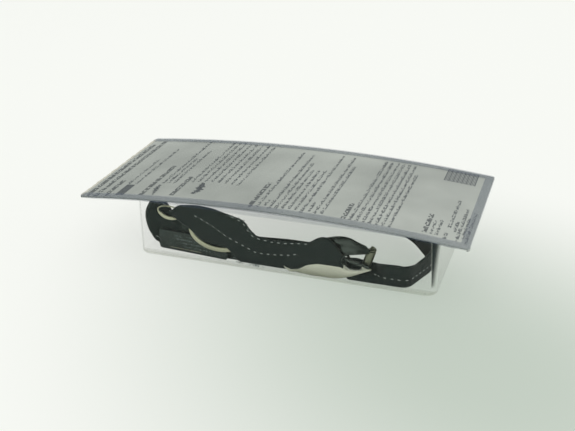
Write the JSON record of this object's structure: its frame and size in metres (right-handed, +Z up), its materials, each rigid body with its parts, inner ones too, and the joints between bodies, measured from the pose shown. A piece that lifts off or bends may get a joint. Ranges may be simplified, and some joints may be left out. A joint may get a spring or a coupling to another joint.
{
  "type": "esd wrist strap",
  "caption": "Webbing wrist strap with a curved roller buckle, flat rings and a flat sensing module, looped on edge in a clear slide-card blister pack.",
  "frame": {"origin": "middle of the pack's footprint, on the surface that the tray's floor rests on", "axes": "+X along the card towards its folded end, +Y towards the card's far edge, +Z up"},
  "size_m": [0.25, 0.1128, 0.0482],
  "materials": {
    "clear_film": "clear drawn sheet, lightly scratched",
    "card_board": "coated board, printed on its outer face",
    "webbing": "woven webbing with stitching",
    "lining": "conductive lining",
    "tab_webbing": "narrow webbing",
    "nickel": "bright nickel plate",
    "ring_nickel": "satin nickel plate",
    "roller_metal": "dull plated sleeve",
    "module_shell": "matt moulding",
    "gasket_rubber": "soft gasket",
    "fastener_steel": "plain",
    "contact_brass": "plain",
    "resistor_body": "lacquer",
    "lead_wire": "tinned"
  },
  "bodies": {
    "pack": {"blister_tray": "clear_film", "band": "webbing", "band_lining": "lining", "eyelet": "nickel", "buckle_plate": "nickel", "heel_bar": "nickel", "toe_pin": "nickel", "ring_tab_large": "tab_webbing", "ring_tab_small": "tab_webbing", "module_base": "module_shell", "module_gasket": "gasket_rubber", "module_cover": "module_shell", "module_screws": "fastener_steel", "contact_strip": "contact_brass", "resistor": "resistor_body", "resistor_leads": "lead_wire", "contact_rivet": "contact_brass"},
    "card": {"backing_card": "card_board"},
    "roller": {"toe_roller": "roller_metal"},
    "prong": {"prong": "nickel"},
    "large_ring": {"ring_large": "ring_nickel"},
    "small_ring": {"ring_small": "ring_nickel"}
  },
  "joints": [
    {"name": "card_slide", "type": "hinge", "parent": "pack", "child": "card", "pos_m": [0, 0.03294, -1.09826], "axis": [0, 0.9996, 0.0288], "range_deg": [-12.4, 0]},
    {"name": "roller_turn", "type": "hinge", "parent": "pack", "child": "roller", "pos_m": [0.064, -0.0424, 0.0169], "axis": [0.2924, 0, 0.9563], "continuous": true},
    {"name": "prong_swing", "type": "hinge", "parent": "pack", "child": "prong", "pos_m": [0.043, -0.0412, 0.0153], "axis": [0, 0, -1], "range_deg": [-0.4, 2.4]},
    {"name": "large_ring_swing", "type": "hinge", "parent": "pack", "child": "large_ring", "pos_m": [-0.0206, -0.0454, 0.0188], "axis": [0, 0, 1], "range_deg": [-0.9, 0.9]},
    {"name": "small_ring_swing", "type": "hinge", "parent": "pack", "child": "small_ring", "pos_m": [-0.06122, -0.04251, 0.029], "axis": [0, 0, 1], "range_deg": [-5, 8]}
  ]
}
